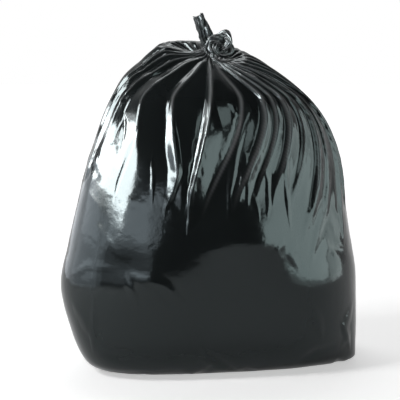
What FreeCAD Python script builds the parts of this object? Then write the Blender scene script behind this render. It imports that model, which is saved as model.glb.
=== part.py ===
import FreeCAD, Part
import math
import os

# A filled refuse sack, tied shut with an overhand knot in its own gathered neck.
# The sack is one piece of film closed on its filling, so it is one solid. Its skin is the
# gathered film over the filling, its strand is the bunched neck that runs through the knot and
# out into the crumpled tail, and the crown joins the two.
# Front is -Y, right is +X, and the sack stands on the flat of its base at Z = 0.

V = FreeCAD.Vector

# Driving dimensions in millimetres, apart from the count and the slope.
SIZES = [
    ("belly_width", 546, "widest reach of the filled belly, left to right"),
    ("belly_depth", 346, "reach of the filled belly, front to back, before its slope"),
    ("belly_slope", 0.16, "how far the belly stands back for each millimetre to the right"),
    ("neck_height", 574, "floor to the collar, where the gathered neck enters the knot"),
    ("neck_offset", -3, "how far the neck stands right of the belly's middle"),
    ("neck_forward", 18, "how far the neck stands in front of the belly's middle"),
    ("shoulder_rise", 50, "how far the film behind the knot stands above its own ring"),
    ("gather_depth", 8, "mean surface to ridge of a full gather on the shoulders"),
    ("ear_reach", 14, "how far the corner of the base seam stands out at the right"),
    ("strand_width", 12, "neck film bunched into the strand of the knot"),
    ("strand_fold_count", 7, "small folds round the strand"),
    ("strand_fold_depth", 1.5, "depth of the small folds along the strand"),
    ("collar_width", 1.2, "gathered film between the strand and the skin's last ring"),
    ("tail_width", 28, "broad way across the tail where it spreads past the knot"),
    ("tail_thickness", 24, "narrow way across the tail where it spreads past the knot"),
    ("tail_fold_depth", 4, "depth of the folds along the tail"),
]

# The skin's rings from the floor up. Each gives its height as a share of neck_height, its
# reach to the left and right and to the front and back as shares of half the belly, its
# squareness, and its shares of the neck's place, of ear_reach and of shoulder_rise.
RINGS = [
    (0.000, 0.670, 0.890, 0.590, 0.800, 2.8, 0.00, 0.8, 0.00),
    (0.012, 0.780, 0.955, 0.750, 0.880, 2.9, 0.00, 1.0, 0.00),
    (0.040, 0.850, 0.985, 0.890, 0.940, 3.0, 0.00, 0.5, 0.00),
    (0.130, 0.932, 1.000, 0.985, 0.988, 2.9, 0.00, 0.1, 0.00),
    (0.280, 1.000, 0.998, 1.000, 1.000, 2.6, 0.00, 0.0, 0.00),
    (0.400, 0.950, 0.962, 0.984, 0.980, 2.5, 0.00, 0.0, 0.00),
    (0.522, 0.890, 0.920, 0.925, 0.925, 2.4, 0.00, 0.0, 0.00),
    (0.650, 0.825, 0.878, 0.835, 0.840, 2.3, 0.05, 0.0, 0.00),
    (0.760, 0.742, 0.795, 0.715, 0.735, 2.2, 0.15, 0.0, 0.00),
    (0.850, 0.660, 0.660, 0.565, 0.610, 2.1, 0.35, 0.0, 0.05),
    (0.912, 0.560, 0.490, 0.375, 0.490, 2.0, 0.60, 0.0, 0.30),
    (0.942, 0.440, 0.360, 0.245, 0.400, 2.0, 0.80, 0.0, 0.62),
    (0.952, 0.375, 0.300, 0.198, 0.355, 2.0, 0.88, 0.0, 0.76),
    (0.958, 0.330, 0.260, 0.168, 0.320, 2.0, 0.92, 0.0, 0.80),
    (0.964, 0.275, 0.222, 0.138, 0.270, 2.0, 0.96, 0.0, 0.62),
    (0.968, 0.220, 0.185, 0.118, 0.220, 2.0, 0.98, 0.0, 0.34),
    (0.975, 0.110, 0.090, 0.084, 0.110, 2.0, 1.00, 0.0, 0.00),
]
# How many of them the smooth side of the sack runs through. The crown above it is straight from
# ring to ring.
SIDE_RINGS = 12
(
    RING_HEIGHT, RING_LEFT, RING_RIGHT, RING_FRONT, RING_BACK, RING_SQUARE,
    RING_SHIFT, RING_EAR, RING_RISE,
) = range(9)

# The gathers from the left round the front to the back, as the film falls. Each gives the angle
# of its ridge at the neck and at its foot, the foot's height as a share of neck_height, and
# its share of gather_depth.
GATHERS = [
    (-169, -170, 0.62, 0.7), (-160, -160, 0.55, 0.8), (-149, -151, 0.62, 0.9), (-133, -123, 0.60, 1.1),
    (-119, -109, 0.50, 1.5), (-97, -100, 0.58, 0.9), (-84, -95, 0.44, 1.3), (-57, -83, 0.46, 1.4),
    (-50, -74, 0.50, 1.1), (-42, -65, 0.50, 1.2), (-35, -58, 0.40, 1.0), (-27, -49, 0.40, 1.0),
    (-19, -39, 0.32, 0.9), (-11, -28, 0.34, 0.9), (-2, -15, 0.42, 0.8), (9, 0, 0.52, 0.9),
    (22, 15, 0.46, 1.1), (35, 30, 0.60, 0.9), (49, 45, 0.50, 1.2), (63, 60, 0.58, 1.0),
    (77, 75, 0.44, 1.2), (90, 90, 0.56, 1.0), (103, 105, 0.48, 1.3), (117, 120, 0.60, 0.9),
    (130, 134, 0.46, 1.2), (144, 148, 0.56, 1.0), (157, 161, 0.48, 1.1), (171, 175, 0.60, 0.8),
]
# How far above its foot a gather comes to its full depth, and where the neck begins to pinch it,
# as shares of neck_height; how deep its valley is beside its ridge; and the reach, in shares of
# half the belly, under which a ring has less room for it.
GATHER_GROWTH = 0.20
GATHER_TOP = 0.95
VALLEY_SHARE = 0.6
GATHER_ROOM = 0.45

# The collar's rings, at the top of the crown: each a share of neck_height and a share of collar_width
# outside the strand.
COLLAR_RINGS = [(0.986, 1.8), (1.000, 1.0)]

EAR_ANGLE = math.radians(-24)
EAR_SPREAD = math.radians(13)
# The film stands highest behind the knot, a little to the left.
RISE_ANGLE = math.radians(102)
RISE_SPREAD = 1.35

# The overhand knot lies in an upright ring: the ratios of its middle radius, and of the radius
# and the depth that its strand winds about, to strand_width, and the half turn left open for
# the two ends.
KNOT_RING_RATIO = 1.26
KNOT_WIND_RATIO = 0.53
KNOT_SWAY_RATIO = 0.66
KNOT_OPEN = 0.44
KNOT_STEPS = 26
# Where the two ends run, in strand widths from the knot's middle.
NECK_ROUTE = [V(-1.60, -0.74, -1.30), V(-1.68, -0.76, -0.80), V(-1.72, -0.76, -0.18), V(-1.52, -0.74, 0.45)]
TAIL_ROUTE = [
    V(-1.50, 0.78, -0.50), V(-1.84, 0.80, 0.15), V(-2.04, 0.80, 0.95),
    V(-2.38, 0.80, 2.00), V(-2.82, 0.82, 3.05), V(-3.30, 0.85, 4.20),
]
STRAND_SECTIONS = 40
SEAM_TOLERANCE = 0.001

# Along the strand, by the share of its length: how far it has spread from the strand's width to
# the tail's, and the share of tail_fold_depth.
TAIL_SPREAD = [(0.00, 0.00), (0.76, 0.00), (0.86, 1.00), (0.93, 0.75), (1.00, 0.35)]


def make_sheet(doc):
    """The spreadsheet of driving dimensions, each cell with its alias and a note."""
    sheet = doc.addObject("Spreadsheet::Sheet", "Sizes")
    for row, (alias, value, note) in enumerate(SIZES, start=1):
        sheet.set("A%d" % row, alias)
        sheet.set("B%d" % row, str(value))
        sheet.set("C%d" % row, note)
        sheet.setAlias("B%d" % row, alias)
    doc.recompute()
    return sheet


def read_sizes(sheet):
    """Every driving dimension as a plain number, by alias."""
    return {alias: float(sheet.get(alias)) for alias, _value, _note in SIZES}


def uneven(index, seed):
    """A repeatable number from -1 to 1, so that no two folds are alike."""
    return 2.0 * math.fmod(abs(math.sin(index * 12.9898 + seed * 78.233)) * 43.758, 1.0) - 1.0


def envelope(size, ring, angle, out):
    """A point of one ring about its own height, moved out by a distance from the smooth outline."""
    c, s = math.cos(angle), math.sin(angle)
    square = ring[RING_SQUARE]
    reach = (abs(c) ** square + abs(s) ** square) ** (-1 / square)
    x = reach * c * (ring[RING_RIGHT] if c > 0 else ring[RING_LEFT]) * size["belly_width"] / 2
    y = reach * s * (ring[RING_BACK] if s > 0 else ring[RING_FRONT]) * size["belly_depth"] / 2
    turn = math.atan2(math.sin(angle - EAR_ANGLE), math.cos(angle - EAR_ANGLE))
    out += ring[RING_EAR] * size["ear_reach"] * math.exp(-((turn / EAR_SPREAD) ** 2))
    radius = math.hypot(x, y)
    x *= 1 + out / radius
    y *= 1 + out / radius
    shift = ring[RING_SHIFT]
    y += size["belly_slope"] * x * (1 - shift) - shift * size["neck_forward"]
    turn = math.atan2(math.sin(angle - RISE_ANGLE), math.cos(angle - RISE_ANGLE))
    rise = ring[RING_RISE] * size["shoulder_rise"] * max(0.0, math.cos(turn / RISE_SPREAD))
    return V(x + shift * size["neck_offset"], y, rise)


def smooth_step(share):
    """From 0 to 1 with level ends."""
    share = min(max(share, 0.0), 1.0)
    return share * share * (3 - 2 * share)


def gather_lift(gather, height):
    """The share of gather_depth that a gather has at a height."""
    _top, _foot, foot_height, strength = gather
    return strength * smooth_step((height - foot_height) / GATHER_GROWTH)


def ridge_angle(gather, height):
    """Where a gather's ridge runs at a height, in radians."""
    top, foot, foot_height, _strength = gather
    share = smooth_step((height - foot_height) / (GATHER_TOP - foot_height))
    return math.radians(foot + (top - foot) * share)


def ring_wire(size, ring):
    """One ring of the skin, with a straight flank from each ridge to each valley."""
    height = ring[RING_HEIGHT]
    depth = size["gather_depth"] * min(1.0, ring[RING_LEFT] / GATHER_ROOM)
    points = []
    for gather, after in zip(GATHERS, GATHERS[1:] + GATHERS[:1]):
        ridge, lift = ridge_angle(gather, height), gather_lift(gather, height)
        step = (ridge_angle(after, height) - ridge) % (2 * math.pi)
        sink = VALLEY_SHARE * min(lift, gather_lift(after, height))
        points.append(envelope(size, ring, ridge, depth * lift))
        points.append(envelope(size, ring, ridge + step / 2, -depth * sink))
    return Part.makePolygon(points + points[:1])


def collar_wire(size, height, share):
    """One ring of the collar, where the gathers close round the strand."""
    mean = size["strand_width"] / 2 + share * size["collar_width"]
    points = []
    for gather, after in zip(GATHERS, GATHERS[1:] + GATHERS[:1]):
        ridge = ridge_angle(gather, height)
        step = (ridge_angle(after, height) - ridge) % (2 * math.pi)
        for angle, fold in ((ridge, 0.25), (ridge + step / 2, -0.25)):
            radius = mean + fold * size["collar_width"]
            x = size["neck_offset"] + radius * math.cos(angle)
            points.append(V(x, radius * math.sin(angle) - size["neck_forward"], 0))
    return Part.makePolygon(points + points[:1])


def place_rings(doc, name, wires):
    """The rings of one loft, each standing at its share of neck_height."""
    sections = []
    for number, (share, wire) in enumerate(wires):
        section = doc.addObject("Part::Feature", "%s_%02d" % (name, number))
        section.Shape = wire
        section.setExpression("Placement.Base.z", "Sizes.neck_height * %s" % share)
        sections.append(section)
    return sections


def make_loft(doc, name, sections, ruled):
    """An open loft through the sections, straight between them where it is ruled."""
    loft = doc.addObject("Part::Loft", name)
    loft.Sections = sections
    loft.Solid = False
    loft.Ruled = ruled
    return loft


def make_skin(doc, size):
    """The film over the filling, lofted from the floor to the foot of the crown."""
    wires = [(ring[RING_HEIGHT], ring_wire(size, ring)) for ring in RINGS[:SIDE_RINGS]]
    return make_loft(doc, "Skin", place_rings(doc, "Ring", wires), False)


def make_crown(doc, size):
    """The last of the gathers, drawn over the crown of the sack to close round the strand."""
    wires = [(ring[RING_HEIGHT], ring_wire(size, ring)) for ring in RINGS[SIDE_RINGS - 1:]]
    wires += [(height, collar_wire(size, height, share)) for height, share in COLLAR_RINGS]
    return make_loft(doc, "Crown", place_rings(doc, "CrownRing", wires), True)


def folded_outline(wide, narrow, fold_count, fold_depth):
    """A flat closed outline of bunched film: ridges on an oval, and valleys inside it."""
    points = []
    for j in range(2 * fold_count):
        angle = math.pi * (j + 0.3 * uneven(j, 5)) / fold_count
        inset = 0 if j % 2 == 0 else fold_depth * (1 + 0.3 * uneven(j, 6))
        points.append(V((wide / 2 - inset) * math.cos(angle), (narrow / 2 - inset) * math.sin(angle), 0))
    return Part.makePolygon(points + points[:1])


def strand_path(size):
    """The strand's line: up through the collar, through the overhand knot and out to the tail."""
    loop = []
    for step in range(KNOT_STEPS + 1):
        turn = 2 * math.pi - KNOT_OPEN - 2 * (math.pi - KNOT_OPEN) * step / KNOT_STEPS
        radius = KNOT_RING_RATIO + KNOT_WIND_RATIO * math.cos(3 * turn)
        around = math.pi + 2 * turn
        sway = KNOT_SWAY_RATIO * math.sin(3 * turn)
        loop.append(V(radius * math.cos(around), sway, radius * math.sin(around)))
    route = NECK_ROUTE + loop + TAIL_ROUTE
    collar = V(size["neck_offset"], -size["neck_forward"], size["neck_height"])
    path = Part.BSplineCurve()
    path.interpolate([collar + (point - NECK_ROUTE[0]) * size["strand_width"] for point in route])
    return path


def between(table, share):
    """The value that a table of shares and values has at a share between them."""
    for (low, first), (high, last) in zip(table, table[1:]):
        if share <= high:
            return first + (last - first) * (share - low) / (high - low)
    return table[-1][1]


def make_strand(doc, size):
    """The bunched neck and its tail, lofted through folded outlines that turn with its line."""
    path = strand_path(size)
    facing = FreeCAD.Rotation()
    heading = V(0, 0, 1)
    sections = []
    for number in range(STRAND_SECTIONS + 1):
        share = number / STRAND_SECTIONS
        along = path.FirstParameter + share * (path.LastParameter - path.FirstParameter)
        tangent = path.tangent(along)[0] if number else heading
        facing = FreeCAD.Rotation(heading, tangent) * facing
        heading = tangent
        spread = between(TAIL_SPREAD, share)
        wide, narrow, fold = (
            size["strand_" + own] + spread * (size["tail_" + fanned] - size["strand_" + own])
            for own, fanned in (("width", "width"), ("width", "thickness"), ("fold_depth", "fold_depth"))
        )
        section = doc.addObject("Part::Feature", "Strand_%02d" % number)
        section.Shape = folded_outline(wide, narrow, int(size["strand_fold_count"]), fold)
        section.Placement = FreeCAD.Placement(path.value(along), facing)
        sections.append(section)
    return make_loft(doc, "Strand", sections, True)


def make_sack(doc, skin, crown, strand):
    """One closed solid: the skin, its crown and the strand, closed by flats at the floor,
    between crown and strand, and at the tail's tip."""
    base = Part.Face(Part.Wire(skin.Sections[0].Shape.Edges))
    crown_top = Part.Wire(crown.Sections[-1].Shape.Edges)
    strand_root = Part.Wire(strand.Sections[0].Shape.Edges)
    crown_flat = Part.Face([crown_top, strand_root])
    tip = Part.Face(Part.Wire(strand.Sections[-1].Shape.Edges))
    faces = skin.Shape.Faces + crown.Shape.Faces + strand.Shape.Faces
    film = Part.makeCompound(faces + [base, crown_flat, tip])
    film.sewShape(SEAM_TOLERANCE)
    closed = Part.Solid(film.Shells[0])
    closed.fix(SEAM_TOLERANCE, SEAM_TOLERANCE, 10 * SEAM_TOLERANCE)
    sack = doc.addObject("Part::Feature", "TiedSack")
    sack.Label = "tied_sack"
    sack.Shape = closed
    return sack


def check_shapes(doc):
    """Stops if any object failed to build."""
    for thing in doc.Objects:
        if "Invalid" in thing.State or "Error" in thing.State:
            raise RuntimeError("%s failed to build" % thing.Label)
        shape = getattr(thing, "Shape", None)
        if shape is not None and (shape.isNull() or not shape.isValid()):
            raise RuntimeError("%s has no valid shape" % thing.Label)


def main():
    doc = FreeCAD.newDocument("TiedSack")
    size = read_sizes(make_sheet(doc))
    skin = make_skin(doc, size)
    crown = make_crown(doc, size)
    strand = make_strand(doc, size)
    doc.recompute()
    sack = make_sack(doc, skin, crown, strand)
    box = sack.Shape.optimalBoundingBox()
    sack.Placement = FreeCAD.Placement(V(-box.Center.x, -box.Center.y, -box.ZMin), FreeCAD.Rotation())
    doc.recompute()
    check_shapes(doc)
    os.makedirs("parts", exist_ok=True)
    sack.Shape.exportStep(os.path.join("parts", sack.Label + ".step"))


main()
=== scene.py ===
"""A filled refuse sack of glossy black film, tied shut with a knot in its own neck.

The sack stands on its base with its front to -Y. Lengths are in metres unless a name ends in _mm.
Places that follow the photograph are given in its own frame, 400 pixels a side.
"""
import dataclasses
import logging
import math
import random
from dataclasses import dataclass, field
from enum import Enum

import bmesh
import bpy
import numpy as np
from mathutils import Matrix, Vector

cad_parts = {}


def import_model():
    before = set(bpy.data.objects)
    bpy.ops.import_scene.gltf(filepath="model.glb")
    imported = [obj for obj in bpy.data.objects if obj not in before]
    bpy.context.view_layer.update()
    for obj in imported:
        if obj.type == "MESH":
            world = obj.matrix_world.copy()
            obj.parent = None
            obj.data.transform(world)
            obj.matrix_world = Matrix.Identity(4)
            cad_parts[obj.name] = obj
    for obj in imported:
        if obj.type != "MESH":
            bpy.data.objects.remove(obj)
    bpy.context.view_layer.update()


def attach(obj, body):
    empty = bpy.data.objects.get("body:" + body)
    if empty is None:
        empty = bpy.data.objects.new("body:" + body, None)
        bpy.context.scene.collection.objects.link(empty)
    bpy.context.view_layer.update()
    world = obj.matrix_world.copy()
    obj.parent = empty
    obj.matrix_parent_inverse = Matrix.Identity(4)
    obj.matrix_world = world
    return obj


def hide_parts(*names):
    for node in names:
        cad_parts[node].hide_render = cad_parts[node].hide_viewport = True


LOG = logging.getLogger("sack")
NODE = "tied_sack"
BODY = "root"
MM = 0.001
COOL = (0.88, 0.93, 1.0)
TEAL = (0.88, 1.0, 0.98)
# The sockets of a Mix node that mixes two colours.
COLOUR_A, COLOUR_B, MIXED_COLOUR = 6, 7, 2


@dataclass(frozen=True)
class Viewpoint:
    """The photograph's camera: where it stands, and what one of its pixels spans on the sack."""

    frame_px: float = 400.0
    sensor: float = 36.0
    distance: float = 2.60
    elevation: float = math.radians(8.0)
    pixel: float = 0.001853
    centre_x: float = -0.0197
    centre_z: float = 0.3015
    view_depth: float = 60.0

    def aim(self) -> Vector:
        """The point that the middle of the frame shows."""
        return Vector((self.centre_x, 0.0, self.centre_z))

    def place(self) -> Vector:
        """Where the camera stands."""
        back = Vector((0.0, -math.cos(self.elevation), math.sin(self.elevation)))
        return self.aim() + back * self.distance

    def lens(self) -> float:
        """The focal length that spans the frame at the aim."""
        return self.sensor * self.distance / (self.frame_px * self.pixel)

    def project(self, points: np.ndarray) -> np.ndarray:
        """Where points of the sack fall in the photograph's frame.

        Args:
            points: an array of places, one a row.

        Returns:
            The pixel places, one a row, across and down.
        """
        back = np.array([0.0, -math.cos(self.elevation), math.sin(self.elevation)])
        up = np.array([0.0, math.sin(self.elevation), math.cos(self.elevation)])
        away = points - np.array(self.place())
        depth = -(away @ back)
        scale = self.distance / (self.pixel * depth)
        across = self.frame_px / 2 + away[:, 0] * scale
        down = self.frame_px / 2 - (away @ up) * scale
        return np.stack([across, down], axis=1)

    def make(self) -> None:
        """Makes the camera and hands it to the scene."""
        data = bpy.data.cameras.new("viewpoint")
        data.sensor_width = self.sensor
        data.lens = self.lens()
        data.clip_end = self.view_depth
        camera = bpy.data.objects.new("viewpoint", data)
        camera.location = self.place()
        camera.rotation_mode = "QUATERNION"
        camera.rotation_quaternion = (self.aim() - self.place()).to_track_quat("-Z", "Y")
        bpy.context.scene.collection.objects.link(camera)
        bpy.context.scene.camera = camera


@dataclass(frozen=True)
class Panel:
    """A soft light panel that stands about the sack and faces it."""

    name: str
    azimuth: float
    height: float
    distance: float
    wide: float
    high: float
    radiance: float
    tint: tuple[float, float, float] = (1.0, 1.0, 1.0)
    aim_height: float = 0.3
    mirrored: bool = True
    matt: bool = True

    def make(self) -> None:
        """Makes the panel as an area light of the stated radiance.

        A panel that is only mirrored shows in the film's gloss and doesn't brighten matt things,
        so that a broad one leaves the room at a plain level.
        """
        turn = math.radians(self.azimuth)
        place = Vector((self.distance * math.sin(turn), -self.distance * math.cos(turn), self.height))
        light = bpy.data.lights.new(self.name, "AREA")
        light.shape = "RECTANGLE"
        light.size = self.wide
        light.size_y = self.high
        light.energy = self.radiance * math.pi * self.wide * self.high
        light.color = self.tint
        lamp = bpy.data.objects.new(self.name, light)
        lamp.visible_camera = False
        lamp.visible_glossy = self.mirrored
        lamp.visible_diffuse = self.matt
        lamp.location = place
        lamp.rotation_mode = "QUATERNION"
        lamp.rotation_quaternion = (Vector((0, 0, self.aim_height)) - place).to_track_quat("-Z", "Y")
        bpy.context.scene.collection.objects.link(lamp)


# Each panel but the key and the overhead one shows only in the film's gloss. The fringe, faint and
# last ones are wider and dimmer than the one they are named for, which softens its mirrored edge.
PANELS = (
    Panel("key", -60.0, 1.8, 2.2, 0.8, 0.8, 20.0, mirrored=False),
    Panel("softbox_low", -68.0, 1.47, 2.29, 3.5, 0.62, 25.0, aim_height=0.45, matt=False),
    Panel("softbox_high", -62.0, 2.05, 2.0, 1.05, 1.1, 25.0, aim_height=0.45, matt=False),
    Panel("softbox_fringe", -68.0, 1.50, 2.29, 3.7, 0.95, 5.0, aim_height=0.45, matt=False),
    Panel("low_front", -25.0, 1.12, 2.8, 2.5, 0.42, 1.9, COOL, matt=False),
    Panel("low_front_fringe", -32.0, 0.98, 2.8, 2.7, 0.75, 1.1, COOL, matt=False),
    Panel("low_front_faint", -34.0, 0.85, 2.8, 3.2, 1.15, 0.6, COOL, matt=False),
    Panel("low_side", -86.0, 0.88, 2.8, 2.1, 0.50, 1.4, COOL, matt=False),
    Panel("low_side_fringe", -85.0, 0.74, 2.85, 2.7, 0.85, 1.0, COOL, matt=False),
    Panel("low_side_faint", -83.0, 0.62, 2.9, 3.3, 1.15, 0.8, COOL, matt=False),
    Panel("low_side_last", -80.0, 0.52, 2.95, 4.0, 1.40, 0.6, COOL, matt=False),
    Panel("low_back", -130.0, 0.50, 2.8, 1.8, 0.9, 1.6, COOL, matt=False),
    Panel("window", 65.0, 0.76, 2.6, 2.3, 1.18, 3.3, TEAL, matt=False),
    Panel("window_fringe", 66.0, 0.56, 2.7, 2.6, 1.30, 0.9, TEAL, matt=False),
    Panel("window_high", 38.0, 2.0, 2.4, 0.9, 0.9, 2.6, TEAL, aim_height=0.45, matt=False),
    Panel("window_far", 100.0, 0.9, 2.6, 0.9, 1.8, 2.6, TEAL, matt=False),
    Panel("overhead", 190.0, 2.6, 1.0, 1.4, 1.0, 4.0),
)


def add_node(tree: bpy.types.NodeTree, kind: str, values: dict[str, object] | None = None) -> bpy.types.Node:
    """Adds a node and sets some of its sockets.

    Args:
        tree: the material's or world's nodes.
        kind: the node's type.
        values: the value of each named socket.

    Returns:
        The node.
    """
    node = tree.nodes.new(kind)
    for socket, value in (values or {}).items():
        node.inputs[socket].default_value = value
    return node


def seen_share(tree: bpy.types.NodeTree, in_gloss: float) -> bpy.types.NodeSocket:
    """How much of the plain white a ray sees: all of it, or a share where the film mirrors it.

    Args:
        tree: the material's or world's nodes.
        in_gloss: the share for mirrored rays, small because the photographed room was dark.

    Returns:
        The socket with the share.
    """
    path = add_node(tree, "ShaderNodeLightPath")
    straight = add_node(tree, "ShaderNodeMath")
    straight.operation = "MAXIMUM"
    tree.links.new(path.outputs["Is Camera Ray"], straight.inputs[0])
    tree.links.new(path.outputs["Is Transmission Ray"], straight.inputs[1])
    mirrored = add_node(tree, "ShaderNodeMath")
    mirrored.operation = "MULTIPLY"
    mirrored.inputs[1].default_value = in_gloss
    tree.links.new(path.outputs["Is Glossy Ray"], mirrored.inputs[0])
    share = add_node(tree, "ShaderNodeMath")
    share.operation = "MAXIMUM"
    tree.links.new(straight.outputs[0], share.inputs[0])
    tree.links.new(mirrored.outputs[0], share.inputs[1])
    return share.outputs[0]


@dataclass(frozen=True)
class FloorFinish:
    """White paper that still takes the sack's shadow."""

    name: str = "floor_white"
    colour: tuple[float, float, float, float] = (0.8, 0.8, 0.8, 1.0)
    near: float = 0.3
    far: float = 3.0
    glow_near: float = 0.52
    glow_far: float = 1.0
    in_gloss: float = 0.45

    def make(self) -> bpy.types.Material:
        """Builds the floor's material.

        Returns:
            The material.
        """
        material = bpy.data.materials.new(self.name)
        material.use_nodes = True
        tree = material.node_tree
        tree.nodes.clear()
        out = add_node(tree, "ShaderNodeOutputMaterial")
        paper = add_node(tree, "ShaderNodeBsdfDiffuse", {"Color": self.colour})
        glow = add_node(tree, "ShaderNodeEmission")
        place = add_node(tree, "ShaderNodeTexCoord")
        away = add_node(tree, "ShaderNodeVectorMath")
        away.operation = "LENGTH"
        fade = add_node(tree, "ShaderNodeMapRange", {
            "From Min": self.near, "From Max": self.far,
            "To Min": self.glow_near, "To Max": self.glow_far,
        })
        fade.interpolation_type = "SMOOTHSTEP"
        tree.links.new(place.outputs["Object"], away.inputs[0])
        tree.links.new(away.outputs["Value"], fade.inputs["Value"])
        tree.links.new(fade.outputs[0], glow.inputs["Strength"])
        both = add_node(tree, "ShaderNodeAddShader")
        dark = add_node(tree, "ShaderNodeMixShader")
        unlit = add_node(tree, "ShaderNodeEmission", {"Strength": 0.0})
        tree.links.new(seen_share(tree, self.in_gloss), dark.inputs[0])
        tree.links.new(unlit.outputs[0], dark.inputs[1])
        tree.links.new(glow.outputs[0], dark.inputs[2])
        tree.links.new(paper.outputs[0], both.inputs[0])
        tree.links.new(dark.outputs[0], both.inputs[1])
        tree.links.new(both.outputs[0], out.inputs["Surface"])
        return material


@dataclass(frozen=True)
class Room:
    """White behind the sack for the eye, dark in front of it for the film to mirror."""

    name: str = "room"
    dark_until: float = 0.15
    pale_from: float = 0.75
    dark_level: float = 0.03
    pale_level: float = 0.9
    in_gloss: float = 0.03

    def make(self) -> None:
        """Makes the world."""
        world = bpy.data.worlds.new(self.name)
        bpy.context.scene.world = world
        world.use_nodes = True
        tree = world.node_tree
        tree.nodes.clear()
        out = add_node(tree, "ShaderNodeOutputWorld")
        white = add_node(tree, "ShaderNodeBackground", {"Color": (1, 1, 1, 1)})
        dim = add_node(tree, "ShaderNodeBackground")
        place = add_node(tree, "ShaderNodeTexCoord")
        split = add_node(tree, "ShaderNodeSeparateXYZ")
        ramp = add_node(tree, "ShaderNodeMapRange", {
            "From Min": self.dark_until, "From Max": self.pale_from,
            "To Min": self.dark_level, "To Max": self.pale_level,
        })
        tree.links.new(place.outputs["Generated"], split.inputs[0])
        tree.links.new(split.outputs["Y"], ramp.inputs["Value"])
        tree.links.new(ramp.outputs[0], dim.inputs["Strength"])
        seen = add_node(tree, "ShaderNodeMixShader")
        tree.links.new(seen_share(tree, self.in_gloss), seen.inputs[0])
        tree.links.new(dim.outputs[0], seen.inputs[1])
        tree.links.new(white.outputs[0], seen.inputs[2])
        tree.links.new(seen.outputs[0], out.inputs["Surface"])


@dataclass(frozen=True)
class Studio:
    """The pale floor, the dark room in front, the pale one behind and the light panels."""

    floor_radius: float = 9.0
    floor_sides: int = 96
    floor_finish: FloorFinish = FloorFinish()
    room: Room = Room()
    panels: tuple[Panel, ...] = PANELS

    def floor(self) -> bpy.types.Object:
        """The round pale floor.

        Returns:
            The floor's object, marked as stage.
        """
        mesh = bpy.data.meshes.new("floor")
        bm = bmesh.new()
        bmesh.ops.create_circle(bm, cap_ends=True, segments=self.floor_sides, radius=self.floor_radius)
        bm.to_mesh(mesh)
        bm.free()
        disc = bpy.data.objects.new("floor", mesh)
        bpy.context.scene.collection.objects.link(disc)
        disc.data.materials.append(self.floor_finish.make())
        return disc

    def make(self) -> None:
        """Makes the floor, the room and every panel."""
        self.floor()
        self.room.make()
        for panel in self.panels:
            panel.make()
        bpy.context.scene.view_settings.view_transform = "Standard"


@dataclass(frozen=True)
class FilmFinish:
    """Glossy black polythene: near black, sharp in its gloss, and finely uneven, with a pale grey painted
    highlight mixed into its colour where a mesh attribute marks ridges and fold crests.
    """

    name: str = "black_film"
    colour: tuple[float, float, float, float] = (0.010, 0.0125, 0.013, 1.0)
    roughness: float = 0.11
    ior: float = 1.45
    crinkle: float = 0.14
    crinkle_depth: float = 0.004
    crinkle_scale: float = 34.0
    crinkle_detail: float = 3.0
    crinkle_roughness: float = 0.55
    smoothest: float = 0.7
    roughest: float = 1.4
    gloss_tint: tuple[float, float, float, float] = (0.86, 0.98, 1.0, 1.0)
    # The pale grey of the painted highlight along ridges and the knot's fold crests, standing in for their
    # glints.
    highlight_colour: tuple[float, float, float, float] = (0.50, 0.52, 0.53, 1.0)

    def make(self) -> bpy.types.Material:
        """Builds the film's material.

        Returns:
            The material, ready for any piece of the sack.
        """
        material = bpy.data.materials.new(self.name)
        material.use_nodes = True
        tree = material.node_tree
        shader = tree.nodes["Principled BSDF"]
        # Painted highlight: the mesh attribute mixes the base colour towards the pale grey along ridges and
        # fold crests.
        painted_highlight = add_node(tree, "ShaderNodeAttribute")
        painted_highlight.attribute_name = "painted_highlight"
        paler = add_node(tree, "ShaderNodeMix")
        paler.data_type = "RGBA"
        paler.inputs[COLOUR_A].default_value = self.colour
        paler.inputs[COLOUR_B].default_value = self.highlight_colour
        tree.links.new(painted_highlight.outputs["Fac"], paler.inputs["Factor"])
        tree.links.new(paler.outputs[MIXED_COLOUR], shader.inputs["Base Color"])
        shader.inputs["IOR"].default_value = self.ior
        shader.inputs["Specular Tint"].default_value = self.gloss_tint
        place = add_node(tree, "ShaderNodeTexCoord")
        fine = add_node(tree, "ShaderNodeTexNoise", {
            "Scale": self.crinkle_scale, "Detail": self.crinkle_detail,
            "Roughness": self.crinkle_roughness,
        })
        bump = add_node(tree, "ShaderNodeBump", {
            "Strength": self.crinkle, "Distance": self.crinkle_depth,
        })
        spread = add_node(tree, "ShaderNodeMapRange", {
            "To Min": self.roughness * self.smoothest, "To Max": self.roughness * self.roughest,
        })
        tree.links.new(place.outputs["Object"], fine.inputs["Vector"])
        tree.links.new(fine.outputs["Fac"], bump.inputs["Height"])
        tree.links.new(fine.outputs["Fac"], spread.inputs["Value"])
        tree.links.new(spread.outputs[0], shader.inputs["Roughness"])
        tree.links.new(bump.outputs["Normal"], shader.inputs["Normal"])
        return material


@dataclass(frozen=True)
class Ring:
    """One level of the filled sack, in shares of the neck's height and of half the belly."""

    height: float
    left: float
    right: float
    front: float
    back: float
    square: float
    shift: float
    ear: float
    rise: float


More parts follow.
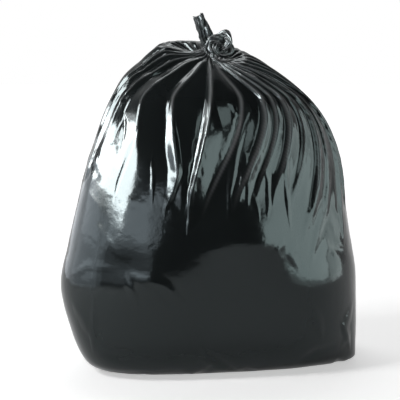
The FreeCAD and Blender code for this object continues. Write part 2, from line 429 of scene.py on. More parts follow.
RINGS = (
    Ring(0.000, 0.670, 0.890, 0.590, 0.800, 2.8, 0.00, 0.8, 0.00),
    Ring(0.012, 0.780, 0.955, 0.750, 0.880, 2.9, 0.00, 1.0, 0.00),
    Ring(0.040, 0.850, 0.985, 0.890, 0.940, 3.0, 0.00, 0.5, 0.00),
    Ring(0.130, 0.932, 1.000, 0.985, 0.988, 2.9, 0.00, 0.1, 0.00),
    Ring(0.280, 1.000, 0.998, 1.000, 1.000, 2.6, 0.00, 0.0, 0.00),
    Ring(0.400, 0.950, 0.962, 0.984, 0.980, 2.5, 0.00, 0.0, 0.00),
    Ring(0.522, 0.890, 0.920, 0.925, 0.925, 2.4, 0.00, 0.0, 0.00),
    Ring(0.650, 0.825, 0.878, 0.835, 0.840, 2.3, 0.05, 0.0, 0.00),
    Ring(0.760, 0.742, 0.795, 0.715, 0.735, 2.2, 0.15, 0.0, 0.00),
    Ring(0.850, 0.660, 0.660, 0.565, 0.610, 2.1, 0.35, 0.0, 0.05),
    Ring(0.912, 0.560, 0.490, 0.375, 0.490, 2.0, 0.60, 0.0, 0.30),
    Ring(0.942, 0.440, 0.360, 0.245, 0.400, 2.0, 0.80, 0.0, 0.62),
    Ring(0.952, 0.375, 0.300, 0.198, 0.355, 2.0, 0.88, 0.0, 0.76),
    Ring(0.958, 0.330, 0.260, 0.168, 0.320, 2.0, 0.92, 0.0, 0.80),
    Ring(0.964, 0.275, 0.222, 0.138, 0.270, 2.0, 0.96, 0.0, 0.62),
    Ring(0.968, 0.220, 0.185, 0.118, 0.220, 2.0, 0.98, 0.0, 0.34),
    Ring(0.975, 0.110, 0.090, 0.084, 0.110, 2.0, 1.00, 0.0, 0.00),
    Ring(0.986, 0.038, 0.038, 0.054, 0.054, 2.0, 1.00, 0.0, 0.00),
    Ring(1.000, 0.027, 0.027, 0.038, 0.038, 2.0, 1.00, 0.0, 0.00),
)


@dataclass(frozen=True)
class Gather:
    """One gather: its ridge's angle at the neck and at its foot, where the foot is, and how deep.

    Its valley lies at a share of the way to the next ridge, so that one flank is the steeper.
    """

    top: float
    foot: float
    foot_height: float
    strength: float
    valley: float = 0.5


# The gathers from the left round the front to the back.
GATHERS = (
    Gather(-169, -170, 0.62, 0.7, 0.4), Gather(-160, -160, 0.55, 0.8, 0.35),
    Gather(-149, -151, 0.62, 0.9, 0.3), Gather(-133, -123, 0.60, 1.0, 0.78),
    Gather(-113, -102, 0.50, 0.4, 0.86), Gather(-89, -100, 0.48, 1.3, 0.95),
    Gather(-70, -95, 0.44, 0.05, 0.85), Gather(-57, -83, 0.46, 1.0, 0.8),
    Gather(-50, -74, 0.50, 0.55, 0.8), Gather(-43, -66, 0.50, 1.0, 0.75),
    Gather(-35, -59, 0.44, 0.35, 0.8), Gather(-28, -50, 0.40, 1.0, 0.78),
    Gather(-21, -41, 0.40, 0.4, 0.75), Gather(-12, -29, 0.34, 1.0, 0.7),
    Gather(-2, -15, 0.42, 0.8, 0.6), Gather(9, 0, 0.52, 0.9),
    Gather(22, 15, 0.46, 1.1), Gather(35, 30, 0.60, 0.9),
    Gather(49, 45, 0.50, 1.2), Gather(63, 60, 0.58, 1.0),
    Gather(77, 75, 0.44, 1.2), Gather(90, 90, 0.56, 1.0),
    Gather(103, 105, 0.48, 1.3), Gather(117, 120, 0.60, 0.9),
    Gather(130, 134, 0.46, 1.2), Gather(144, 148, 0.56, 1.0),
    Gather(157, 161, 0.48, 1.1), Gather(171, 175, 0.60, 0.8),
)


def smooth_step(share: np.ndarray) -> np.ndarray:
    """From 0 to 1 with level ends."""
    share = np.clip(share, 0.0, 1.0)
    return share * share * (3 - 2 * share)


def smooth_table(shares: np.ndarray, rows: np.ndarray) -> np.ndarray:
    """A table of levels read between its rows by a curve that never overshoots them.

    Args:
        shares: the places along the table to read, from 0 to its last row.
        rows: the table, one level a row, with its own place in the first column.

    Returns:
        One row for each share.
    """
    place = rows[:, 0]
    step = np.diff(place)
    slope = np.diff(rows, axis=0) / step[:, None]
    lean = np.zeros_like(rows)
    inner = slope[:-1] * slope[1:] > 0
    mean = 2 * slope[:-1] * slope[1:] / np.where(inner, slope[:-1] + slope[1:], 1.0)
    lean[1:-1] = np.where(inner, mean, 0.0)
    lean[0], lean[-1] = slope[0], slope[-1]
    spot = np.clip(np.searchsorted(place, shares, side="right") - 1, 0, len(place) - 2)
    t = ((shares - place[spot]) / step[spot])[:, None]
    width = step[spot][:, None]
    low, high = rows[spot], rows[spot + 1]
    return (
        low * (2 * t**3 - 3 * t**2 + 1) + lean[spot] * width * (t**3 - 2 * t**2 + t)
        + high * (3 * t**2 - 2 * t**3) + lean[spot + 1] * width * (t**3 - t**2)
    )


class FoldKind(Enum):
    """How the film stands along a fold line."""

    RIDGE = 1
    VALLEY = -1


@dataclass(frozen=True)
class Fold:
    """One fold of the front, by the pixels of the photograph that its line runs through.

    The line runs downwards. The film slopes away from it over `left` and `right` pixels, so that
    the narrower side is the steeper one.
    """

    line: tuple[tuple[float, float], ...]
    left: float
    right: float
    depth_mm: float
    kind: FoldKind = FoldKind.RIDGE
    taper: float = 0.35
    crest: float = 1.3
    narrow_end: float = 0.25

    def lift(self, pixels: np.ndarray) -> np.ndarray:
        """How far the fold lifts the film.

        Args:
            pixels: places of the frame, one a row.

        Returns:
            The lift at each place, in metres.
        """
        best = np.full(len(pixels), np.inf)
        along = np.zeros(len(pixels))
        side = np.zeros(len(pixels))
        lengths = [math.dist(a, b) for a, b in zip(self.line, self.line[1:])]
        done = 0.0
        for (start, end), length in zip(zip(self.line, self.line[1:]), lengths):
            a, b = np.array(start), np.array(end)
            run = (b - a) / length
            share = np.clip((pixels - a) @ run / length, 0.0, 1.0)
            off = pixels - a - share[:, None] * (b - a)
            gap = np.linalg.norm(off, axis=1)
            nearer = gap < best
            best = np.where(nearer, gap, best)
            side = np.where(nearer, run[0] * off[:, 1] - run[1] * off[:, 0], side)
            along = np.where(nearer, (done + share * length) / sum(lengths), along)
            done += length
        ends = np.minimum(np.minimum(along, 1 - along) / self.taper, 1.0)
        reach = np.where(side < 0, self.right, self.left) * (self.narrow_end + (1 - self.narrow_end) * ends)
        height = np.clip(1 - np.hypot(best, self.crest) / reach, 0.0, 1.0)
        return self.kind.value * self.depth_mm * MM * height * np.sqrt(ends)


@dataclass(frozen=True)
class Bulge:
    """A soft swelling where the filling pushes the film out, or a hollow where it is drawn in."""

    middle: tuple[float, float]
    across: float
    down: float
    depth_mm: float
    turn: float = 0.0

    def lift(self, pixels: np.ndarray) -> np.ndarray:
        """How far the filling lifts the film.

        Args:
            pixels: places of the frame, one a row.

        Returns:
            The lift at each place, in metres.
        """
        off = pixels - np.array(self.middle)
        c, s = math.cos(math.radians(self.turn)), math.sin(math.radians(self.turn))
        u = (off[:, 0] * c + off[:, 1] * s) / self.across
        v = (off[:, 1] * c - off[:, 0] * s) / self.down
        return self.depth_mm * MM * np.exp(-(u**2) - v**2)


FRONT_BULGES = (
    Bulge((250, 236), 40, 34, 9),
    Bulge((150, 285), 60, 40, 7),
    Bulge((310, 292), 34, 40, 8),
    Bulge((125, 268), 18, 14, -2),
    Bulge((110, 215), 40, 40, 4),
)

FRONT_FOLDS = (
    # The line down the middle of the front, and the spike left of it.
    Fold(((208, 70), (206, 105), (194, 162), (186, 182)), 2, 8, 2.0),
    Fold(((172, 103), (176, 140), (180, 172), (174, 194), (165, 213)), 12, 3, 5.2),
    # The broad flank right of the middle, and the small fold in its corner.
    Fold(((211, 100), (206, 130), (199, 160), (190, 190), (187, 234)), 2, 17, 4.2, taper=0.2),
    Fold(((221, 99), (232, 104), (243, 125)), 3, 5, 2.0),
    # The cluster of narrow pleats right of the middle.
    Fold(((262, 95), (244, 122), (236, 152), (230, 187), (227, 224)), 5, 5, 2.5),
    Fold(((258, 150), (246, 160), (238, 190)), 3, 4, 3),
    Fold(((262, 150), (251, 169), (246, 208)), 4, 5, 2.5),
    Fold(((262, 160), (268, 180), (268, 206), (264, 224)), 3, 3, 2.5),
    Fold(((250, 192), (256, 204), (258, 222)), 2, 3, 1.6),
    Fold(((286, 100), (286, 135), (276, 170), (271, 208)), 5, 7, 2.5),
    Fold(((286, 130), (286, 190), (290, 242)), 3, 4, 2.5),
    # The pleats of the right side and the crumple below them.
    Fold(((325, 152), (318, 190), (300, 244)), 5, 6, 2.5),
    Fold(((331, 170), (322, 215), (306, 270)), 4, 6, 2.5),
    Fold(((284, 236), (277, 252), (283, 268)), 6, 5, 1.4),
    Fold(((297, 238), (290, 254), (297, 270)), 6, 5, 1.4),
    Fold(((304, 300), (316, 318), (322, 340)), 7, 6, 1.8),
    # The folds that leave the knot.
    Fold(((232, 48), (250, 72), (266, 96)), 4, 5, 3),
    Fold(((200, 44), (209, 70), (213, 98)), 3, 5, 3),
    # The left side, from the small spike to the pucker and what runs from it.
    Fold(((152, 150), (154, 176), (153, 208)), 4, 2, 1.6),
    Fold(((141, 118), (128, 156), (119, 182), (113, 212)), 3, 3, 2.2, FoldKind.VALLEY),
    Fold(((124, 108), (124, 130), (121, 150)), 4, 3, 2.5, FoldKind.VALLEY),
    Fold(((86, 184), (125, 197), (163, 211)), 3, 3, 0.7),
    Fold(((84, 188), (104, 208)), 5, 3, 0.7),
    Fold(((88, 212), (108, 238), (123, 258)), 5, 4, 0.8),
    Fold(((84, 226), (100, 240), (114, 254)), 4, 3, 0.7),
    Fold(((62, 281), (88, 266), (124, 269)), 4, 4, 1.2),
    Fold(((128, 272), (150, 290), (170, 304)), 7, 6, 2.0),
    Fold(((128, 272), (165, 286), (192, 310)), 7, 7, 2.2),
    Fold(((126, 273), (134, 292), (140, 308)), 6, 6, 1.8),
    Fold(((95, 298), (93, 354)), 5, 5, 2.4),
    Fold(((72, 300), (84, 318), (92, 340)), 6, 7, 2.2),
    Fold(((98, 352), (118, 356), (138, 352)), 6, 6, 3.0, FoldKind.VALLEY),
    # The lower right corner and the fold under it.
    Fold(((352, 300), (344, 326), (350, 352)), 4, 5, 3.0),
    Fold(((338, 318), (346, 338), (338, 350)), 3, 4, 2.2),
    Fold(((298, 360), (318, 350), (340, 345)), 5, 4, 4.0, FoldKind.VALLEY),
)


def smooth_line(points: np.ndarray, count: int) -> np.ndarray:
    """A line with no kink through the points, evenly read along its length.

    Args:
        points: the places that it runs through.
        count: how many places to read.

    Returns:
        The places, one a row.
    """
    run = np.concatenate([[0.0], np.cumsum(np.linalg.norm(np.diff(points, axis=0), axis=1))])
    gap = np.diff(run)
    size = len(points)
    left = np.eye(size)
    right = np.zeros((size, 3))
    for k in range(1, size - 1):
        left[k, k - 1:k + 2] = gap[k - 1], 2 * (gap[k - 1] + gap[k]), gap[k]
        right[k] = 6 * ((points[k + 1] - points[k]) / gap[k] - (points[k] - points[k - 1]) / gap[k - 1])
    bend = np.linalg.solve(left, right)
    at = np.linspace(0.0, run[-1], count)
    k = np.clip(np.searchsorted(run, at, side="right") - 1, 0, size - 2)
    low, high, wide = (run[k + 1] - at)[:, None], (at - run[k])[:, None], gap[k][:, None]
    return (
        bend[k] * low**3 / (6 * wide) + bend[k + 1] * high**3 / (6 * wide)
        + (points[k] / wide - bend[k] * wide / 6) * low
        + (points[k + 1] / wide - bend[k + 1] * wide / 6) * high
    )


def weave(name: str, grid: np.ndarray) -> bpy.types.Object:
    """Turns rings of places into a closed piece, extruded ring by ring.

    Args:
        name: the piece's name.
        grid: rings by columns by three.

    Returns:
        The piece's object, whose points keep their place in the grid in the layer "place".
    """
    rings, columns = grid.shape[:2]
    bm = bmesh.new()
    tag = bm.verts.layers.int.new("place")
    bmesh.ops.create_circle(bm, cap_ends=True, segments=columns, radius=1.0)
    bm.verts.ensure_lookup_table()
    for column, vert in enumerate(bm.verts):
        vert[tag] = column
    edges = bm.edges[:]
    for ring in range(1, rings):
        grown = bmesh.ops.extrude_edge_only(bm, edges=edges)["geom"]
        for vert in (v for v in grown if isinstance(v, bmesh.types.BMVert)):
            vert[tag] = ring * columns + vert[tag] % columns
        edges = [e for e in grown if isinstance(e, bmesh.types.BMEdge)]
    bmesh.ops.holes_fill(bm, edges=edges, sides=0)
    flat = grid.reshape(-1, 3)
    for vert in bm.verts:
        vert.co = flat[vert[tag]]
    caps = [f for f in bm.faces if len(f.verts) > 4]
    bmesh.ops.poke(bm, faces=caps)
    bmesh.ops.recalc_face_normals(bm, faces=bm.faces)
    for face in bm.faces:
        face.smooth = True
    mesh = bpy.data.meshes.new(name)
    bm.to_mesh(mesh)
    bm.free()
    piece = bpy.data.objects.new(name, mesh)
    bpy.context.scene.collection.objects.link(piece)
    return piece


def paint(piece: bpy.types.Object, pale: np.ndarray) -> None:
    """Writes how much highlight is painted on the film at each point of a woven piece, as the attribute
    "crease".

    Args:
        piece: a piece made by weave.
        pale: how much highlight is painted, from 0 to 1, for each place of its grid.
    """
    mesh = piece.data
    order = np.empty(len(mesh.vertices), dtype=np.int32)
    mesh.attributes["place"].data.foreach_get("value", order)
    painted_highlight = mesh.attributes.new("painted_highlight", "FLOAT", "POINT")
    painted_highlight.data.foreach_set("value", pale[np.clip(order, 0, len(pale) - 1)].astype(np.float32))


def cubic_weights(spots: np.ndarray, size: int, loops: bool) -> tuple[np.ndarray, np.ndarray]:
    """Which samples a smooth curve reads at each spot, and how much of each.

    Args:
        spots: places counted in samples.
        size: how many samples there are.
        loops: whether the last sample is followed by the first.

    Returns:
        The four samples' numbers and their weights, a row for each spot.
    """
    base = np.floor(spots).astype(int)
    t = (spots - base)[:, None]
    number = base[:, None] + np.arange(-1, 3)[None, :]
    number = number % size if loops else np.clip(number, 0, size - 1)
    weight = np.concatenate([
        -0.5 * t + t**2 - 0.5 * t**3, 1 - 2.5 * t**2 + 1.5 * t**3,
        0.5 * t + 2 * t**2 - 1.5 * t**3, -0.5 * t**2 + 0.5 * t**3,
    ], axis=1)
    return number, weight


@dataclass
class Inflation:
    """A cloth simulation of the film: cut wider than it is filled, so that it buckles into folds."""

    columns: int = 240
    levels: int = 120
    frames: int = 22
    quality: int = 6
    pressure: float = 1.0
    stretch: float = 20.0
    shear: float = 6.0
    bend: float = 0.6
    mass: float = 0.25
    spare: float = 0.35
    spare_from: float = 0.42
    spare_to: float = 0.9
    spare_curve: float = 1.3
    least_climb: float = 0.2
    spare_all_round: float = 0.006
    spare_down: float = -0.02

    def cut(self, place: np.ndarray, height: np.ndarray) -> np.ndarray:
        """The film as it was cut: round rings with the spare film that the gathers take up.

        Args:
            place: the filled shape, levels by columns by three.
            height: each level's share of the neck's height.

        Returns:
            The same points on the film as cut.
        """
        around = np.linalg.norm(np.roll(place, -1, axis=1) - place, axis=2)
        belly = around[len(height) // 3]
        turn = 2 * math.pi * np.concatenate([[0.0], np.cumsum(belly)[:-1]]) / belly.sum()
        rise = np.clip((height - self.spare_from) / (self.spare_to - self.spare_from), 0.0, 1.0)
        spare = 1 + self.spare_all_round + self.spare * rise**self.spare_curve
        radius = around.sum(axis=1) * spare / (2 * math.pi)
        down = np.linalg.norm(np.diff(place, axis=0), axis=2).mean(axis=1) * (1 + self.spare_down)
        climb = np.sqrt(np.maximum(down**2 - np.diff(radius) ** 2, (self.least_climb * down) ** 2))
        z = np.concatenate([[0.0], np.cumsum(climb)])
        return np.stack([
            radius[:, None] * np.cos(turn)[None, :], radius[:, None] * np.sin(turn)[None, :],
            z[:, None] + 0 * turn[None, :],
        ], axis=2)

    def dress(self, piece: bpy.types.Object, key: bpy.types.ShapeKey) -> None:
        """Makes the piece a cloth that is blown up from inside.

        Args:
            piece: the film, with its group of held points.
            key: the film as it was cut.
        """
        cloth = piece.modifiers.new("inflate", "CLOTH")
        settings = cloth.settings
        settings.rest_shape_key = key
        settings.vertex_group_mass = "held"
        settings.quality = self.quality
        settings.mass = self.mass
        settings.tension_stiffness = self.stretch
        settings.compression_stiffness = self.stretch
        settings.shear_stiffness = self.shear
        settings.bending_stiffness = self.bend
        settings.use_pressure = True
        settings.uniform_pressure_force = self.pressure
        settings.effector_weights.gravity = 0.0
        cloth.collision_settings.use_collision = False
        cloth.point_cache.frame_start = 1
        cloth.point_cache.frame_end = self.frames

    def run(self, place: np.ndarray, height: np.ndarray) -> np.ndarray:
        """Runs the simulation on the filled shape.

        The film is held at the base and at the neck.

        Args:
            place: the filled shape with its first gathers, levels by columns by three.
            height: each level's share of the neck's height.

        Returns:
            Where the simulation moved each point to.
        """
        levels, columns = place.shape[:2]
        piece = weave("film_trial", place)
        mesh = piece.data
        order = np.empty(len(mesh.vertices), dtype=np.int32)
        mesh.attributes["place"].data.foreach_get("value", order)
        ringed = np.arange(len(order)) < levels * columns
        cut = self.cut(place, height).reshape(-1, 3)
        piece.shape_key_add(name="Basis")
        key = piece.shape_key_add(name="Cut")
        rest = np.empty((len(order), 3))
        rest[ringed] = cut[order[ringed]]
        rest[~ringed] = [[0, 0, 0], cut[-1] * [0, 0, 1]]
        key.data.foreach_set("co", rest.reshape(-1))
        held = piece.vertex_groups.new(name="held")
        level = order // columns
        for number in np.nonzero(ringed)[0]:
            if level[number] == 0 or level[number] >= levels - 2:
                held.add([int(number)], 1.0, "REPLACE")
        held.add([int(n) for n in np.nonzero(~ringed)[0]], 1.0, "REPLACE")
        self.dress(piece, key)
        scene = bpy.context.scene
        for frame in range(1, self.frames + 1):
            scene.frame_set(frame)
        settled = piece.evaluated_get(bpy.context.evaluated_depsgraph_get()).to_mesh()
        found = np.empty(len(order) * 3)
        settled.vertices.foreach_get("co", found)
        found = found.reshape(-1, 3)
        result = place.reshape(-1, 3).copy()
        result[order[ringed]] = found[ringed]
        bpy.data.objects.remove(piece)
        bpy.data.meshes.remove(mesh)
        scene.frame_set(1)
        return result.reshape(place.shape)


@dataclass
class Skin:
    """The film over the filling, from the base's middle up to the neck."""

    columns_front: int = 590
    columns_back: int = 136
    levels: int = 127
    under_levels: int = 7
    reach_share: float = 0.12
    belly_width: float = 0.546
    belly_depth: float = 0.346
    slope: float = 0.16
    neck_height: float = 0.574
    neck_x: float = -0.003
    neck_forward: float = 0.018
    shoulder_rise: float = 0.050
    rise_angle: float = math.radians(102)
    rise_spread: float = 1.35
    ear_reach: float = 0.014
    ear_angle: float = math.radians(-24)
    ear_spread: float = math.radians(13)
    gather_depth: float = 0.008
    gather_growth: float = 0.20
    gather_top: float = 0.95
    gather_room: float = 0.45
    draw: float = 0.55
    draw_from: float = 0.86
    draw_to: float = 0.968
    crest_offsets: tuple[float, ...] = (-0.016, -0.008, 0.0, 0.008, 0.016)
    climb: float = 0.017
    climb_from: float = 0.935
    climb_to: float = 0.975
    climb_angle: float = math.radians(172)
    climb_spread: float = math.radians(62)
    valley_share: float = 0.6
    folds: tuple[Fold, ...] = FRONT_FOLDS
    bulges: tuple[Bulge, ...] = FRONT_BULGES
    broad_waves: int = 20
    # The painted highlight along the gathers' ridges: how wide and strong it is, and how far above a
    # gather's foot it starts.
    ridge_highlight_width: float = 0.0018
    ridge_highlight_strength: float = 0.28
    ridge_highlight_above: float = 0.06
    front_edge: float = 4.0
    inflation: Inflation = field(default_factory=Inflation)

    def angles(self) -> np.ndarray:
        """The angle of every column, closer together over the front.

        Returns:
            The angles, from the left round the front to the back.
        """
        front = np.linspace(-math.pi, 0.0, self.columns_front, endpoint=False)
        back = np.linspace(0.0, math.pi, self.columns_back, endpoint=False)
        return np.concatenate([front, back])

    def outline(self, angle: np.ndarray, level: np.ndarray) -> np.ndarray:
        """The filled shape, with no fold, at every level and angle.

        Args:
            angle: the columns' angles.
            level: the levels' rows of the ring table.

        Returns:
            An array of levels by columns by three.
        """
        c, s = np.cos(angle)[None, :], np.sin(angle)[None, :]
        height, left, right, front, back, square, shift, ear, rise = (
            level[:, k][:, None] for k in range(9))
        reach = (np.abs(c) ** square + np.abs(s) ** square) ** (-1 / square)
        x = reach * c * np.where(c > 0, right, left) * self.belly_width / 2
        y = reach * s * np.where(s > 0, back, front) * self.belly_depth / 2
        turn = np.angle(np.exp(1j * (angle - self.ear_angle)))[None, :]
        out = 1 + ear * self.ear_reach * np.exp(-((turn / self.ear_spread) ** 2)) / np.hypot(x, y)
        x, y = x * out, y * out
        y = y + self.slope * x * (1 - shift) - shift * self.neck_forward
        x = x + shift * self.neck_x
        turn = np.angle(np.exp(1j * (angle - self.rise_angle)))[None, :]
        hump = rise * self.shoulder_rise * np.maximum(0.0, np.cos(turn / self.rise_spread))
        turn = np.angle(np.exp(1j * (angle - self.climb_angle)))[None, :]
        climb = self.climb * smooth_step((height - self.climb_from) / (self.climb_to - self.climb_from))
        z = height * self.neck_height + hump + climb * np.exp(-((turn / self.climb_spread) ** 2)) + 0 * x
        return np.stack([x, y, z], axis=2)

    def levels_table(self, count: int) -> np.ndarray:
        """The ring table read at many levels, evenly spaced along the film.

        Args:
            count: how many levels.

        Returns:
            One row for each level.
        """
        table = np.array([dataclasses.astuple(ring) for ring in RINGS])
        reach = np.diff(table[:, 1] + table[:, 3]) * self.reach_share
        run = np.hypot(np.diff(table[:, 0]) * self.neck_height, reach)
        place = np.concatenate([[0.0], np.cumsum(run)])
        rows = np.column_stack([place / place[-1], table])
        return smooth_table(np.linspace(0.0, 1.0, count), rows)[:, 1:]

    def ridges(self, height: float) -> np.ndarray:
        """Where the gathers' ridges run at a height, once the knot has drawn those of the front together.

        Args:
            height: a share of the neck's height.

        Returns:
            The angle of each gather's ridge.
        """
        top, foot, foot_height = np.array([(one.top, one.foot, one.foot_height) for one in GATHERS]).T
        share = smooth_step((height - foot_height) / (self.gather_top - foot_height))
        ridge = np.radians(foot + (top - foot) * share)
        pull = self.draw * smooth_step((height - self.draw_from) / (self.draw_to - self.draw_from))
        facing = np.clip(-np.sin(ridge), 0.0, 1.0) ** 2
        return ridge - (ridge + math.pi / 2) * pull * facing

    def gathered(self, angle: np.ndarray, level: np.ndarray) -> np.ndarray:
        """How far the gathers lift the film.

        Args:
            angle: the columns' angles.
            level: the levels' rows of the ring table.

        Returns:
            The lift in metres, an array of levels by columns.
        """
        lift = np.zeros((len(level), len(angle)))
        foot_height, strength, valley = np.array(
            [(one.foot_height, one.strength, one.valley) for one in GATHERS]).T
        for row, (height, left) in enumerate(level[:, :2]):
            ridge = self.ridges(height)
            rise = strength * smooth_step((height - foot_height) / self.gather_growth)
            step = (np.roll(ridge, -1) - ridge) % (2 * math.pi)
            sink = -self.valley_share * np.minimum(rise, np.roll(rise, -1))
            spots = np.stack([ridge, ridge + step * valley], axis=1).reshape(-1)
            lifts = np.stack([rise, sink], axis=1).reshape(-1)
            depth = self.gather_depth * min(1.0, left / self.gather_room)
            lift[row] = sum(
                np.interp(angle + off, spots, lifts, period=2 * math.pi) * depth
                for off in self.crest_offsets) / len(self.crest_offsets)
        return lift

    def ridge_highlights(self, angle: np.ndarray, level: np.ndarray, place: np.ndarray) -> np.ndarray:
        """How much highlight is painted along the ridges of its gathers, from 0 to 1, as a paler film colour
        in place of the glints of their crests.

        Args:
            angle: the columns' angles.
            level: the levels' rows of the ring table.
            place: the skin, levels by columns by three.

        Returns:
            An array of levels by columns.
        """
        pale = np.zeros((len(level), len(angle)))
        begins = np.array([one.foot_height for one in GATHERS]) + self.ridge_highlight_above
        for row, height in enumerate(level[:, 0]):
            ridge = self.ridges(height)
            strength = smooth_step((height - begins) / self.gather_growth)
            radius = np.hypot(place[row, :, 0], place[row, :, 1])
            away = np.abs(np.angle(np.exp(1j * (angle[:, None] - ridge[None, :])))) * radius[:, None]
            pale[row] = (np.exp(-((away / self.ridge_highlight_width) ** 2)) * strength[None, :]).max(axis=1)
        return pale * self.ridge_highlight_strength

    def settle(self, angle: np.ndarray) -> np.ndarray:
        """How far the simulation's fine folds move each point of the fine mesh.

        Args:
            angle: the columns' angles.

        Returns:
            The moves in metres, levels by columns by three.
        """
        trial = self.inflation
        coarse = np.linspace(-math.pi, math.pi, trial.columns, endpoint=False)
        level = self.levels_table(trial.levels)
        outward = np.stack([np.cos(coarse), np.sin(coarse), 0 * coarse], axis=1)[None, :, :]
        start = self.outline(coarse, level) + self.gathered(coarse, level)[:, :, None] * outward
        shift = trial.run(start, level[:, 0]) - start
        waves = np.fft.rfft(shift, axis=1)
        waves[:, :self.broad_waves] = 0.0
        shift = np.fft.irfft(waves, trial.columns, axis=1)
        spots = (angle + math.pi) / (2 * math.pi) * trial.columns
        number, weight = cubic_weights(spots, trial.columns, True)
        across = np.einsum("lckx,ck->lcx", shift[:, number], weight)
        rows = np.linspace(0.0, trial.levels - 1.0, self.levels)
        number, weight = cubic_weights(rows, trial.levels, False)
        return np.einsum("lkcx,lk->lcx", across[number], weight)

    def build(self, eye: Viewpoint) -> bpy.types.Object:
        """Builds the skin's mesh, extruded ring by ring from the base's middle to the neck.

        Args:
            eye: the photograph's camera, which the folds of the front are placed by.

        Returns:
            The skin's object.
        """
        angle = self.angles()
        level = self.levels_table(self.levels)
        outward = np.stack([np.cos(angle), np.sin(angle), 0 * angle], axis=1)[None, :, :]
        place = self.outline(angle, level) + self.gathered(angle, level)[:, :, None] * outward
        place = place + self.settle(angle)
        pixels = eye.project(place.reshape(-1, 3))
        facing = np.clip(-np.sin(angle) * self.front_edge, 0, 1)[None, :].repeat(len(level), 0).reshape(-1)
        lift = sum((part.lift(pixels) for part in self.folds + self.bulges), np.zeros(len(pixels)))
        place = place + (lift * facing).reshape(len(level), -1)[:, :, None] * outward
        under = [place[0] * np.array([k / self.under_levels, k / self.under_levels, 1.0])
                 for k in range(1, self.under_levels)]
        grid = np.concatenate([np.array(under), place])
        # The painted highlight along the gathers' ridges.
        pale = self.ridge_highlights(angle, level, place)
        piece = weave("sack_skin", grid)
        paint(piece, np.concatenate([np.zeros((len(under), len(angle))), pale]).reshape(-1))
        return piece


@dataclass(frozen=True)
class Wave:
    """A slow unevenness along the strand: how much, how fast it turns, and where it starts."""

    amount: float
    rate: float
    start: float = 0.0

    def at(self, share: float) -> float:
        """Its value at a share of the strand's length."""
        return self.amount * math.sin(self.rate * share + self.start)


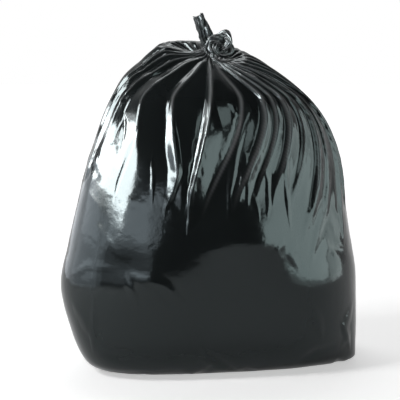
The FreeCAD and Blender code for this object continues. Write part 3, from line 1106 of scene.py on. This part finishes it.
@dataclass
class Knot:
    """The overhand knot that the bunched neck is tied in, with the tail that it leaves."""

    strand: float = 0.012
    ring: float = 1.26
    wind: float = 0.53
    sway: float = 0.66
    opening: float = 0.44
    squash: float = 0.84
    droop: float = 0.12
    steps: int = 26
    neck_route: tuple[tuple[float, float, float], ...] = (
        (-1.60, -0.74, -1.30), (-1.68, -0.76, -0.80), (-1.72, -0.76, -0.18), (-1.52, -0.74, 0.45),
    )
    tail_route: tuple[tuple[float, float, float], ...] = (
        (-1.50, 0.78, -0.50), (-1.84, 0.80, 0.15), (-2.04, 0.80, 0.95),
        (-2.38, 0.80, 2.00), (-2.82, 0.82, 3.05), (-3.30, 0.85, 4.20),
    )
    spread: tuple[tuple[float, float], ...] = (
        (0.00, 0.00), (0.76, 0.00), (0.86, 1.00), (0.93, 0.75), (1.00, 0.35),
    )
    band_width: float = 0.0145
    band_thickness: float = 0.0105
    band_fold: float = 0.28
    tail_width: float = 0.026
    tail_thickness: float = 0.020
    tail_fold: float = 0.42
    fullness: float = 1.06
    swell: tuple[Wave, ...] = (Wave(0.22, 47.0, 1.0), Wave(0.12, 83.0))
    thicken: tuple[Wave, ...] = (Wave(0.2, 59.0, 2.5),)
    drift: tuple[Wave, ...] = (Wave(0.4, 9.0), Wave(0.25, 23.0, 1.0))
    lean: float = 0.22
    lean_turn: float = 5.0
    crush: Wave = Wave(0.20, 43.0, 2.0)
    crush_turn: float = 31.0
    ripple: float = 0.05
    ripple_turn: float = 60.0
    calm_tail: float = 0.8
    # The painted highlight on the knot's fold crests: its uneven patches, how sharply it keeps to the
    # crests, and how it fades towards the tail.
    highlight_patches: Wave = Wave(0.5, 53.0)
    highlight_patch_turn: float = 37.0
    pale_edge: float = 1.5
    dark_tail: float = 0.85
    fray: float = 0.004
    fray_points: int = 8
    cap: tuple[tuple[float, float], ...] = ((0.75, 0.0), (0.55, 0.003), (0.3, 0.009), (0.1, 0.014))
    columns: int = 84
    sections: int = 340
    folds: int = 9
    shallowest: float = 0.4
    deepest: float = 1.3
    seed: int = 11

    def route(self, foot: np.ndarray) -> np.ndarray:
        """The strand's line: up from the neck, through the overhand knot and out to the tail.

        Args:
            foot: where the bunched neck leaves the skin.

        Returns:
            The points that the line runs through.
        """
        step = np.linspace(0.0, 1.0, self.steps + 1)
        turn = 2 * math.pi - self.opening - 2 * (math.pi - self.opening) * step
        radius = self.ring + self.wind * np.cos(3 * turn)
        around = math.pi + 2 * turn
        across, along, up = radius * np.cos(around), self.sway * np.sin(3 * turn), radius * np.sin(around)
        loop = np.stack([across, along, up * self.squash - self.droop], axis=1)
        points = np.concatenate([np.array(self.neck_route), loop, np.array(self.tail_route)])
        return foot + (points - points[0]) * self.strand

    def section(
        self, angle: np.ndarray, share: float, spread: float, strengths: np.ndarray,
    ) -> tuple[np.ndarray, np.ndarray, np.ndarray]:
        """One crumpled section of the strand.

        Args:
            angle: the section's angles.
            share: where it is along the strand, from 0 to 1.
            spread: how far it has spread from the knot's band to the tail, from 0 to 1.
            strengths: how deep each lengthwise fold is.

        Returns:
            How far it reaches sideways and across at each angle, and how much highlight is painted on its
            film.
        """
        loose = 1 - spread
        wide = self.band_width + spread * (self.tail_width - self.band_width)
        wide *= 1 + loose * sum(wave.at(share) for wave in self.swell)
        narrow = self.band_thickness + spread * (self.tail_thickness - self.band_thickness)
        narrow *= 1 + loose * sum(wave.at(share) for wave in self.thicken)
        drift = sum(wave.at(share) for wave in self.drift)
        turned = angle + drift + self.lean * np.sin(2 * angle + self.lean_turn * share)
        turned = turned * self.folds / (2 * math.pi)
        index = np.floor(turned).astype(int) % self.folds
        inside = 1 - np.abs(2 * (turned - np.floor(turned)) - 1)
        depth = strengths[index] * (self.band_fold + spread * (self.tail_fold - self.band_fold))
        crush = self.crush.at(share) * np.abs(np.sin(2 * angle + self.crush_turn * share))
        crush = crush + self.ripple * np.sin(3 * angle - self.ripple_turn * share)
        radius = self.fullness - depth * (1 - inside) + crush * (1 - self.calm_tail * spread)
        # Painted highlight: the film is made paler along the crests of the band's folds, in uneven patches
        # and less towards the tail, in place of the light that the band catches.
        patchy = 0.5 + self.highlight_patches.at(share) * np.sin(4 * angle + self.highlight_patch_turn * share)
        pale = inside ** self.pale_edge * patchy * (1 - self.dark_tail * spread)
        return radius * np.cos(angle) * wide / 2, radius * np.sin(angle) * narrow / 2, pale

    def build(self, foot: np.ndarray) -> bpy.types.Object:
        """Builds the strand round its line.

        Args:
            foot: where the bunched neck leaves the skin.

        Returns:
            The knot's object.
        """
        draw = random.Random(self.seed)
        line = smooth_line(self.route(foot), self.sections)
        heading = np.gradient(line, axis=0)
        heading /= np.linalg.norm(heading, axis=1)[:, None]
        angle = np.linspace(0.0, 2 * math.pi, self.columns, endpoint=False)
        shares = np.linspace(0.0, 1.0, self.sections)
        spreads = np.interp(shares, *zip(*self.spread))
        strengths = np.array([draw.uniform(self.shallowest, self.deepest) for _fold in range(self.folds)])
        rings = []
        pale = []
        for place, ahead, share, spread in zip(line, heading, shares, spreads):
            across = np.array([0.0, 1.0, 0.0]) - ahead * ahead[1]
            across /= np.linalg.norm(across)
            side = np.cross(across, ahead)
            sideways, inwards, paler = self.section(angle, share, spread, strengths)
            pale.append(paler)
            rings.append(place + sideways[:, None] * side + inwards[:, None] * across)
        torn = [draw.uniform(-1, 1) for _point in range(self.fray_points)] + [0.0]
        frayed = np.interp(angle, np.linspace(0, 2 * math.pi, self.fray_points + 1), torn)
        tip = rings[-1]
        rings[-1] = tip + heading[-1] * self.fray * frayed[:, None]
        middle = tip.mean(axis=0)
        for inward, down in self.cap:
            rings.append(middle + (tip - middle) * inward - heading[-1] * down)
            pale.append(0 * angle)
        piece = weave("neck_knot", np.array(rings))
        paint(piece, np.array(pale).reshape(-1))
        return piece


@dataclass
class TiedSack:
    """The whole sack: its skin, its knot and its tail, all of one film."""

    eye: Viewpoint
    finish: FilmFinish = FilmFinish()
    skin: Skin = field(default_factory=Skin)
    knot: Knot = field(default_factory=Knot)

    def build(self) -> None:
        """Builds and dresses every piece."""
        film = self.finish.make()
        foot = np.array([self.skin.neck_x, -self.skin.neck_forward, self.skin.neck_height])
        for piece in (self.skin.build(self.eye), self.knot.build(foot)):
            piece.data.materials.append(film)
            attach(piece, BODY)
            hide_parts(NODE)
            LOG.info("%s: %d faces", piece.name, len(piece.data.polygons))


def main() -> None:
    """Builds the sack and the studio."""
    logging.basicConfig(level=logging.INFO, format="%(name)s: %(message)s")
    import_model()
    eye = Viewpoint()
    eye.make()
    Studio().make()
    TiedSack(eye).build()


if __name__ == "__main__":
    main()
